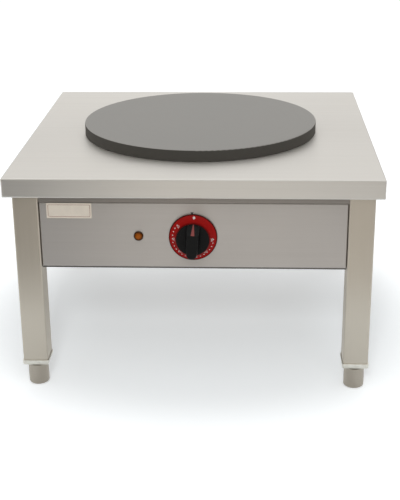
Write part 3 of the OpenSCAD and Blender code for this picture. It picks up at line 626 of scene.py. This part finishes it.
def on_skirt(points, settings):
    """Lays flat marks on the skirt's flare. Its face stands out of the panel by h0 at the rim and h1 at
    the hub, and between them by h0 + (h1 - h0) s ** FLARE_POWER, where s goes from 0 to 1."""
    centre = knob_axis()
    low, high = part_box("knob_skirt")
    rim = half_width("knob_skirt") - 0.5 * MM
    hub = half_width("knob_grip") + 0.3 * MM
    inner, outer = centre.y - high.y + settings.skirt_wall, centre.y - low.y
    reach = np.hypot(points[..., 0], points[..., 1])
    inward = np.clip((rim - reach) / (rim - hub), 0, 1)
    face = inner + (outer - inner) * inward ** FLARE_POWER
    return np.stack([points[..., 0], points[..., 1], points[..., 2] + face], axis=-1)


# ---------- the knob ----------

def grip_body(settings, radius, base):
    """Round body of the grip: a turned profile with a rounded rim and a dished face."""
    top = base + settings.body_height
    rounding = settings.body_edge
    pole = 0.02                     # radius of the small closing face, as a share
    edge_rows, face_rows, columns = 9, 14, 144
    across, up = arc(rounding, 0, 90, edge_rows)
    face = np.linspace(1, pole, face_rows)[1:]
    radii = np.concatenate([
        [pole * radius, radius], radius - rounding + across, (radius - rounding) * face])
    dish = settings.dish * (1 - face ** 2)
    depths = np.concatenate([[base, base], top - rounding + up, top - dish])
    return turned_shell(radii, depths, columns)


def grip_bar(settings, radius, base, top):
    """The grip's bar: outlines stacked from its foot to its top, then drawn in over its rounded upper
    edge, which is softest at the tail.
    An outline's radius at angle a is the smooth least of the round body's radius and w / |cos a|,
    where w is half the bar's width at that depth, so the sides are straight and the ends are round.
    The tail's corners are the softer ones."""
    shoulder = base + settings.body_height
    foot = shoulder - settings.dish - 0.3 * MM
    lowest = foot + 0.05 * MM
    half_top = settings.bar_width / 2
    half_foot = settings.foot_width / 2
    splay = 1.3                     # how the sides run out to the foot
    tail_sharpness, head_sharpness = 4.0, 14.0
    pole = 0.01                     # the closing face's share of the top
    columns, wall_rows, edge_rows, top_rows = 192, 12, 9, 30

    def outline(turn, depth):
        down = np.clip((top - depth) / (top - foot), 0, 1)
        half = half_top + (half_foot - half_top) * down ** splay
        head = np.clip(np.sin(turn), 0, 1)
        sharp = tail_sharpness + (head_sharpness - tail_sharpness) * head
        return ((np.abs(np.cos(turn)) / half) ** sharp + (1 / radius) ** sharp) ** (-1 / sharp)

    def crest(height):
        """Depth of the bar's top at a height above the axis: flat, then sloped to the rim."""
        fall = (top - shoulder) / (radius - settings.slope_start)
        drop = (height - settings.slope_start) * fall
        soft = 0.35 * MM
        return top - soft * np.logaddexp(0, drop / soft)

    even = np.linspace(0, 2 * np.pi, 15 * columns + 1)
    edge = outline(even, top)
    walk = np.concatenate([[0], np.cumsum(np.hypot(
        np.diff(edge * np.cos(even)), np.diff(edge * np.sin(even))))])
    turns = np.interp(np.linspace(0, walk[-1], columns, endpoint=False), walk, even)
    cos, sin = np.cos(turns), np.sin(turns)

    rows = []
    tail = np.clip(-sin, 0, 1) ** 6
    rounding = settings.edge_radius + (settings.tail_radius - settings.edge_radius) * tail
    for climb in np.linspace(0, 1, wall_rows):
        depth = np.full_like(turns, top)
        for _ in range(3):          # the outline's radius and its depth depend on each other
            reach = outline(turns, depth)
            ceiling = np.maximum(crest(reach * sin) - rounding, lowest)
            depth = foot + (ceiling - foot) * climb
        rows.append((outline(turns, depth), depth))
    wall = rows[-1][0]
    for over in np.radians(np.linspace(0, 90, edge_rows)[1:]):
        reach = wall - rounding * (1 - np.cos(over))
        limit = crest(reach * sin) - rounding * (1 - np.sin(over))
        rows.append((reach, np.maximum(limit, lowest)))
    for inward in np.linspace(1, pole, top_rows)[1:]:
        reach = (wall - rounding) * inward
        rows.append((reach, np.maximum(crest(reach * sin), lowest)))
    return np.stack([np.stack([reach * cos, reach * sin, depth], axis=-1) for reach, depth in rows])


class CREPE_OT_knob(bpy.types.Operator):
    """Makes the knob's grip with its bar, gives the skirt and the pointer their finish, and the cable
    gland's body the grip's"""
    bl_idname = "crepe.knob"
    bl_label = "Knob"

    def execute(self, context):
        settings = context.scene.crepe_knob
        centre = knob_axis()
        low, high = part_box("knob_grip")
        radius = half_width("knob_grip")
        base, top = centre.y - high.y, centre.y - low.y
        shells = [grip_body(settings, radius, base), grip_bar(settings, radius, base, top)]
        mesh = mesh_of("grip", [on_knob(shell, centre) for shell in shells])
        black = moulded_plastic("black_plastic", settings.black, 0.36, texture=0.14, gloss=0.12)
        add_piece("grip", mesh, black, "knob", smooth=40, replaced=("knob_grip",))
        paint(["knob_skirt"], skirt_plastic(settings, centre))
        paint(["knob_pointer"], printed("red_pointer", settings.pointer_red))
        paint(["cable_gland", "gland_locknut"], black)
        return {"FINISHED"}


# ---------- the dial ----------

def text_mesh(words, size):
    """A word as a thin print, centred on the origin, with its letters' tops towards +Y."""
    curve = bpy.data.curves.new("word", "FONT")
    curve.body = words
    curve.size = size
    curve.align_x = "CENTER"
    curve.align_y = "CENTER"
    curve.extrude = (PRINT_LIFT + PRINT_SINK) / 2
    holder = new_object("word", curve)
    bpy.context.view_layer.update()
    mesh = bpy.data.meshes.new_from_object(holder.evaluated_get(
        bpy.context.evaluated_depsgraph_get()))
    bpy.data.objects.remove(holder)
    bpy.data.curves.remove(curve)
    return mesh


def mesh_points(mesh):
    """A mesh's points as an array."""
    points = np.empty(len(mesh.vertices) * 3)
    mesh.vertices.foreach_get("co", points)
    return points.reshape(-1, 3)


def around_dial(points, turn, radius):
    """Carries points from the top of a ring to an angle counter-clockwise from the top."""
    moved = points + np.array([0, radius, 0])
    cos, sin = math.cos(turn), math.sin(turn)
    spin = np.array([[cos, -sin, 0], [sin, cos, 0], [0, 0, 1]])
    return moved @ spin.T


class CREPE_OT_dial(bpy.types.Operator):
    """Prints the numbers, the dots and the diamond on the flared skirt, and the index on the panel"""
    bl_idname = "crepe.dial"
    bl_label = "Dial"

    def execute(self, context):
        settings = context.scene.crepe_dial
        knob = context.scene.crepe_knob
        centre = knob_axis()
        white = printed("dial_white", settings.white)

        def on_dial(flat, index, radius):
            """Puts a flat mark at the place of a number, which may be a fraction."""
            turn = settings.first_angle + settings.pitch_angle * index
            return on_knob(on_skirt(around_dial(flat, turn, radius), knob), centre)

        points, faces, count = [], [], 0
        for index in range(settings.numbers):
            word = text_mesh(str(settings.step * (index + 1)), settings.digit_size)
            flat = mesh_points(word)
            flat = flat - (flat.min(axis=0) + flat.max(axis=0)) / 2
            flat = flat + (0, 0, (PRINT_LIFT - PRINT_SINK) / 2)
            points.append(on_dial(flat, index, settings.mark_radius))
            faces += [[corner + count for corner in polygon.vertices] for polygon in word.polygons]
            count += len(flat)
            bpy.data.meshes.remove(word)
        numbers = new_mesh("dial_numbers", np.concatenate(points), faces)
        add_piece("dial_numbers", numbers, white, "knob")

        dot_corners, parts = 12, settings.dots + 1
        dot = prism(regular(dot_corners, settings.dot_radius))
        dots = [on_dial(dot, index / parts, settings.dot_ring)
                for index in range((settings.numbers - 1) * parts + 1)]
        add_piece("dial_dots", mesh_of("dial_dots", dots), white, "knob")

        diamond = prism(regular(4, settings.diamond_size / 2)) + (0, settings.diamond_ring, 0)
        diamond = mesh_of("dial_diamond", [on_knob(on_skirt(diamond, knob), centre)])
        add_piece("dial_diamond", diamond, white, "knob")

        rim = half_width("knob_skirt")
        under, past = 0.6 * settings.index_size, 0.75 * settings.index_size
        triangle = np.array([[0, rim - under], [past, rim + past], [-past, rim + past]])
        index_mark = on_panel(prism(triangle - (settings.index_left, 0)), centre)
        add_piece("panel_index", mesh_of("panel_index", [index_mark]),
                  printed("index_ink", settings.ink), "frame")
        return {"FINISHED"}


# ---------- the pilot lamp ----------

class CREPE_OT_lamp(bpy.types.Operator):
    """Makes the pilot lamp's faceted lens: rings of corners whose angle is staggered by half a facet"""
    bl_idname = "crepe.lamp"
    bl_label = "Pilot lamp"

    def execute(self, context):
        settings = context.scene.crepe_lamp
        low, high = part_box("lamp_lens")
        radius = half_width("lamp_lens")
        panel = knob_axis().y
        middle_x, _, middle_z = middle("lamp_lens")
        proud, stem = panel - low.y, high.y - panel
        facet = 2 * np.pi / settings.facets
        # each ring is a share of the radius, a depth and a share of a facet by which it is turned
        rings = ((0.80, -stem, 0), (0.80, -0.02 * stem, 0), (1.0, 0, 0), (1.0, 0.42 * proud, 0),
                 (0.82, 0.80 * proud, 0.5), (0.42, 0.98 * proud, 0), (0.10, proud, 0.5))
        grid = at_depths([(regular(settings.facets, radius * part, facet * shift), depth)
                          for part, depth, shift in rings])
        mesh = mesh_of("lens", [on_panel(grid, (middle_x, panel, middle_z))])
        add_piece("lens", mesh, amber_lens(settings), "frame", replaced=("lamp_lens",))
        paint(["lamp_bezel"], moulded_plastic("bezel_plastic", settings.bezel, 0.35, gloss=0.2))
        return {"FINISHED"}


# ---------- the label ----------

class CREPE_OT_label(bpy.types.Operator):
    """Finishes the blank label and prints a plain border on it"""
    bl_idname = "crepe.label"
    bl_label = "Label"

    def execute(self, context):
        settings = context.scene.crepe_label
        low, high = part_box("label_plate")
        middle_x, _, middle_z = middle("label_plate")

        def border(inset, corner):
            """The outline that runs inside the label's edge."""
            return rounded_rectangle(high.x - low.x - 2 * inset, high.z - low.z - 2 * inset, corner)

        outer = border(settings.border_inset, settings.corner)
        inner = border(settings.border_inset + settings.border_width, settings.corner - 0.5 * MM)
        grid = at_depths([(outer, -PRINT_SINK), (outer, PRINT_LIFT),
                          (inner, PRINT_LIFT), (inner, -PRINT_SINK)])
        mesh = ring_mesh("label_border", on_panel(grid, (middle_x, low.y, middle_z)))
        add_piece("label_border", mesh, printed("label_ink", settings.border), "frame")
        paint(["label_plate"], moulded_plastic(
            "label_face", settings.face, 0.38, texture=0.04, scale=500.0))
        return {"FINISHED"}


# ---------- the cable gland ----------

class CREPE_OT_gland(bpy.types.Operator):
    """Makes the cable gland's ribbed dome nut, a turned profile whose radius falls between its ribs, in
    the frame's own black plastic"""
    bl_idname = "crepe.gland"
    bl_label = "Cable gland"

    def execute(self, context):
        low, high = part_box("gland_cap")
        radius = half_width("gland_cap")
        span = high.y - low.y
        lip = high.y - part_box("gland_seal")[1].y
        wall, dome, mouth, grip, rib_depth = 3 * MM, 5 * MM, 0.5 * MM, 1.5 * MM, 0.9 * MM
        rib_count, ribbed_rows, dome_rows, columns = 16, slice(2, 6), 8, 192
        thread = radius - wall
        bore = half_width("gland_seal") - grip
        across, up = arc(dome, 0, 70, dome_rows)
        radii = np.concatenate([
            [thread, radius - mouth, radius], radius - dome + across,
            [bore + mouth, bore, bore, thread]])
        depths = np.concatenate([
            [0, 0, mouth], span - dome + up, [span, span - mouth, span - lip, span - lip]])

        def ribs(angles, rows):
            """How far the radius falls: nothing on a rib, and only on the nut's outer wall."""
            strength = np.zeros(rows)
            strength[ribbed_rows] = 1.0
            wave = np.abs(np.sin(angles * rib_count / 2)) ** 0.6 - 1
            return strength[:, None] * wave * rib_depth

        shell = turned_shell(radii, depths, columns, ribs)
        middle_x, _, middle_z = middle("gland_cap")
        grid = np.stack([middle_x - shell[..., 0], low.y + shell[..., 2],
                         middle_z + shell[..., 1]], axis=-1)
        black = bpy.data.materials["black_plastic"]
        add_piece("gland_nut", ring_mesh("gland_nut", grid), black, "frame",
                  smooth=35, replaced=("gland_cap",))
        return {"FINISHED"}


# ---------- the steel, the iron and what is inside ----------

class CREPE_OT_steel(bpy.types.Operator):
    """Gives the worktop, the legs, the box, the rails and the feet their brushed or turned steel"""
    bl_idname = "crepe.steel"
    bl_label = "Steel"

    def execute(self, context):
        settings = context.scene.crepe_steel
        rough, metal = settings.roughness, settings.metal
        panel = {"smudge": 0.07, "spread": 0.9, "depth": 2.0, "metal": metal}
        sheets = (
            (["worktop"], "brushed_stainless", settings.worktop_colour, 0.04, "X",
             {"smudge": 0.08, "depth": 1.8, "metal": metal}),
            (LEGS, "leg_stainless", settings.leg_colour, 0.0, "Z", {"metal": settings.leg_metal}),
            # painted shade: the panels' colour is the worktop's steel made darker for the shade under
            # the lip
            (["control_panel", "rear_panel"], "panel_stainless", settings.panel_shaded_colour, 0.08, "X",
             panel),
            (["left_panel", "right_panel"], "side_panel_stainless", settings.panel_shaded_colour, 0.08, "Y",
             panel),
            # painted shade: the rails' dark colour stands for the shade under the worktop's lip
            (["front_rail", "rear_rail", "support_bars"], "rail_steel", settings.rail_shaded_colour, 0.06,
             "X", {"metal": settings.rail_metal}),
            # painted shade: the dark base cover gives the shade line under the panels
            (["base_cover"], "cover_steel", settings.cover_shaded_colour, 0.10, "X", {}),
            (["side_rails"], "side_rail_steel", settings.rail_shaded_colour, 0.06, "Y", {}))
        for nodes, name, tone, rougher, grain, look in sheets:
            paint(nodes, brushed_steel(name, tone, rough + rougher, grain, **look))
        paint(["leg_inserts"], sheath("cast_steel_collar", settings.collar_colour, rough, scale=160.0))
        paint(["foot_" + corner for corner in CORNERS],
              turned_steel("foot_steel", settings.foot_colour, rough - 0.02))
        return {"FINISHED"}


class CREPE_OT_plate(bpy.types.Operator):
    """Gives the griddle plate its turned and seasoned iron, and the ring below it its fibre"""
    bl_idname = "crepe.plate"
    bl_label = "Griddle plate"

    def execute(self, context):
        paint(["griddle_plate"], griddle_iron(context.scene.crepe_plate))
        paint(["plate_gasket", "insulation_pad"], pressed_fibre())
        return {"FINISHED"}


class CREPE_OT_inside(bpy.types.Operator):
    """Gives what is inside the box, the fasteners and the soles their finish"""
    bl_idname = "crepe.inside"
    bl_label = "Inside and fasteners"

    def execute(self, context):
        soles = ["foot_sole_" + corner for corner in CORNERS]
        for nodes, finish in (
                (soles + ["gland_seal"], rubber("sole_rubber", (0.045, 0.045, 0.045))),
                (["inner_element", "outer_element"],
                 sheath("element_sheath", (0.20, 0.20, 0.19), 0.5)),
                (["reflector_pan", "element_clamp", "bulb_clip"],
                 brushed_steel("pan_steel", (0.60, 0.60, 0.58), 0.34)),
                (["panel_screws", "base_cover_screws", "plate_studs", "plate_nuts", "pan_fixings",
                  "support_bar_bolts", "thermostat_screws", "thermostat_bracket",
                  "thermostat_shaft"], sheath("zinc_fastener", (0.66, 0.66, 0.65), 0.30, scale=500.0)),
                (["thermostat_body"], moulded_plastic("phenolic", (0.10, 0.055, 0.032), 0.5)),
                (["thermostat_bulb", "thermostat_capillary"],
                 sheath("copper_tube", (0.72, 0.36, 0.22), 0.32)),
                (["terminal_screws", "earth_stud"], sheath("brass", (0.72, 0.52, 0.24), 0.30)),
                (["lamp_body", "lamp_nut", "terminal_block"],
                 moulded_plastic("white_plastic", (0.74, 0.74, 0.71), 0.45)),
                (["wiring"], rubber("wire_insulation", (0.20, 0.075, 0.045)))):
            paint(nodes, finish)
        return {"FINISHED"}


# ---------- the studio ----------

def area_lamp(name, place, width, depth, watts, mirrored=True):
    """A soft rectangular lamp that looks at the object; mirrored says whether reflections show it."""
    light = bpy.data.lights.new(name, "AREA")
    light.shape = "RECTANGLE"
    light.size = width
    light.size_y = depth
    light.energy = watts
    lamp = new_object(name, light)
    lamp.location = place
    target = Vector((0, 0, 0.3))
    lamp.rotation_euler = (target - Vector(place)).to_track_quat("-Z", "Y").to_euler()
    lamp.visible_glossy = mirrored


def add_camera():
    """The camera stands in front, above the worktop and a little to the right. Its yaw, pitch and roll
    are in radians, and its lens and film in millimetres."""
    place = Vector((0.08586, -1.84262, 0.8502))
    yaw, pitch, roll = 0.0481, 0.3705, -0.0096
    lens, film = 78.113, 36
    forward = Vector((
        -math.sin(yaw) * math.cos(pitch), math.cos(yaw) * math.cos(pitch), -math.sin(pitch)))
    level = Vector((math.cos(yaw), math.sin(yaw), 0))
    upright = level.cross(forward)
    right = level * math.cos(roll) + upright * math.sin(roll)
    up = right.cross(forward)
    camera = bpy.data.cameras.new("camera")
    camera.lens = lens
    camera.sensor_width = film
    holder = new_object("camera", camera)
    holder.matrix_world = Matrix.Translation(place) @ Matrix((
        right, up, -forward)).transposed().to_4x4()
    bpy.context.scene.camera = holder


def ray_kinds(shade):
    """1 for a ray from the camera, and 1 for one from a reflection or through glass."""
    seen, glossy, through = [
        shade.node("LightPath", output=name)
        for name in ("Is Camera Ray", "Is Glossy Ray", "Is Transmission Ray")]
    return seen, (glossy + through).clamp()


def stage_plane(name, corners, material):
    """A flat piece of the studio."""
    mesh = new_mesh(name, np.array(corners), [(0, 1, 2, 3)])
    mesh.materials.append(material)
    plane = new_object(name, mesh)
    return plane


def add_floor(settings):
    """A pale floor that keeps the shadow and is lifted to white, more so far from the object and
    between the rear legs. Each lift comes in or fades over a range of radius."""
    shade = new_shade("floor")
    x, y, _ = shade.axes()
    far_range, rear_range, rear_y, reach = (0.28, 0.55), (0.12, 0.42), 0.25, 30.0
    diffuse = shade.node("BsdfDiffuse", {"Color": (*settings.floor_colour, 1), "Roughness": 1.0})
    far = ((x * x + y * y) ** 0.5).ramp(*far_range)
    rear = 1 - ((x * x + (y - rear_y) ** 2) ** 0.5).ramp(*rear_range)
    seen, mirrored = ray_kinds(shade)
    lift = shade.node("Emission", {"Color": (1, 1, 1, 1), "Strength": (
        seen * (settings.floor_lift + far * settings.far_lift + rear * settings.rear_lift)
        + mirrored * settings.floor_shine)})
    shade.finish(shade.node("AddShader", {0: diffuse, 1: lift}))
    stage_plane("floor", [
        (-reach, -reach, 0), (reach, -reach, 0), (reach, reach, 0), (-reach, reach, 0)], shade.owner)


def add_card(settings):
    """A low card in front that only reflections show: brightest a little left of its middle, darker to
    the right and in a band on the left, and fading upwards into the room. Each change runs over a
    range of X or Z."""
    shade = new_shade("card")
    x, _, z = shade.axes()
    band_start, band_end = (-0.66, -0.46), (-0.44, -0.04)
    right_range, fade_range = (0.10, 0.60), (0.28, 0.50)
    band = x.ramp(*band_start) * (1 - x.ramp(*band_end))
    from_left = 1 - band * (1 - settings.card_left)
    to_right = 1 - x.ramp(*right_range) * (1 - settings.card_right)
    level = from_left * to_right * settings.card_level
    level = level + z.ramp(*fade_range) * (settings.room_level - level)
    shade.finish(shade.node("Emission", {"Color": (*settings.room_colour, 1), "Strength": level}))
    side, front, top, clear = 3.0, -0.66, 0.50, 0.5 * MM
    card = stage_plane("card", [
        (-side, front, clear), (side, front, clear), (side, front, top), (-side, front, top)],
        shade.owner)
    for kind in ("camera", "diffuse", "transmission", "volume_scatter", "shadow"):
        setattr(card, "visible_" + kind, False)


def add_surroundings(settings):
    """White behind and above, and a dimmer and warmer room in front and at the sides in reflections.
    Each comes in over a range of a ray's Y or Z, and the white behind is dimmer where it is low."""
    world = bpy.data.worlds.new("studio")
    bpy.context.scene.world = world
    shade = Shade(world)
    _, y, z = shade.axes("Generated")
    behind_range, above_range, low_range = (0.25, 0.85), (0.42, 0.85), (0.18, 0.44)
    low_white = settings.low_white
    rising = low_white + z.ramp(*low_range) * (1.0 - low_white)
    white = (y.ramp(*behind_range) * rising).math("MAXIMUM", z.ramp(*above_range))
    seen, mirrored = ray_kinds(shade)
    room = settings.room_level + white * (1.0 - settings.room_level)
    level = seen + mirrored * room + (1 - seen - mirrored) * settings.sky_level
    tone = shade.blend((seen + white).clamp(), settings.room_colour, (1, 1, 1))
    shade.finish(shade.node("Background", {"Color": tone, "Strength": level}), "OutputWorld")


class CREPE_OT_stage(bpy.types.Operator):
    """Sets up the camera, the lamps, the pale floor and the surroundings"""
    bl_idname = "crepe.stage"
    bl_label = "Studio"

    def execute(self, context):
        settings = context.scene.crepe_studio
        area_lamp("ceiling", (0.1, 1.0, 2.4), 2.6, 2.4, settings.ceiling_power, mirrored=False)
        area_lamp("front", (0.35, -2.6, 2.2), 2.4, 1.6, settings.front_power, mirrored=False)
        area_lamp("flash", (-0.08, -2.5, 1.7), 0.4, 0.4, settings.flash_power, mirrored=False)
        area_lamp("side_left", (-2.4, 0.2, 1.3), 1.2, 1.6, settings.side_power)
        area_lamp("side_right", (2.4, 0.2, 1.3), 1.2, 1.6, settings.side_power)
        add_camera()
        add_floor(settings)
        add_card(settings)
        add_surroundings(settings)
        context.scene.view_settings.view_transform = "Standard"
        return {"FINISHED"}


# ---------- the add-on ----------

SETTINGS = {
    "crepe_studio": StudioSettings, "crepe_steel": SteelSettings, "crepe_plate": PlateSettings,
    "crepe_knob": KnobSettings, "crepe_dial": DialSettings, "crepe_lamp": LampSettings,
    "crepe_label": LabelSettings}
STEPS = (CREPE_OT_stage, CREPE_OT_steel, CREPE_OT_plate, CREPE_OT_inside, CREPE_OT_knob,
         CREPE_OT_dial, CREPE_OT_lamp, CREPE_OT_label, CREPE_OT_gland)


class CREPE_PT_panel(bpy.types.Panel):
    """Lists the steps and the settings in the sidebar"""
    bl_label = "Crepe Maker"
    bl_idname = "CREPE_PT_panel"
    bl_space_type = "VIEW_3D"
    bl_region_type = "UI"
    bl_category = "Crepe Maker"

    def draw(self, context):
        for step in STEPS:
            self.layout.operator(step.bl_idname)
        for name, group in SETTINGS.items():
            box = self.layout.box()
            settings = getattr(context.scene, name)
            for key in group.__annotations__:
                box.prop(settings, key)


def register():
    for group in (*SETTINGS.values(), *STEPS, CREPE_PT_panel):
        bpy.utils.register_class(group)
    for name, group in SETTINGS.items():
        setattr(bpy.types.Scene, name, PointerProperty(type=group))


def unregister():
    for name in SETTINGS:
        delattr(bpy.types.Scene, name)
    for group in (CREPE_PT_panel, *reversed(STEPS), *reversed(SETTINGS.values())):
        bpy.utils.unregister_class(group)


def main():
    """Registers the add-on and runs its steps in order."""
    register()
    for step in STEPS:
        family, action = step.bl_idname.split(".")
        getattr(getattr(bpy.ops, family), action)()


if __name__ == "__main__":
    main()
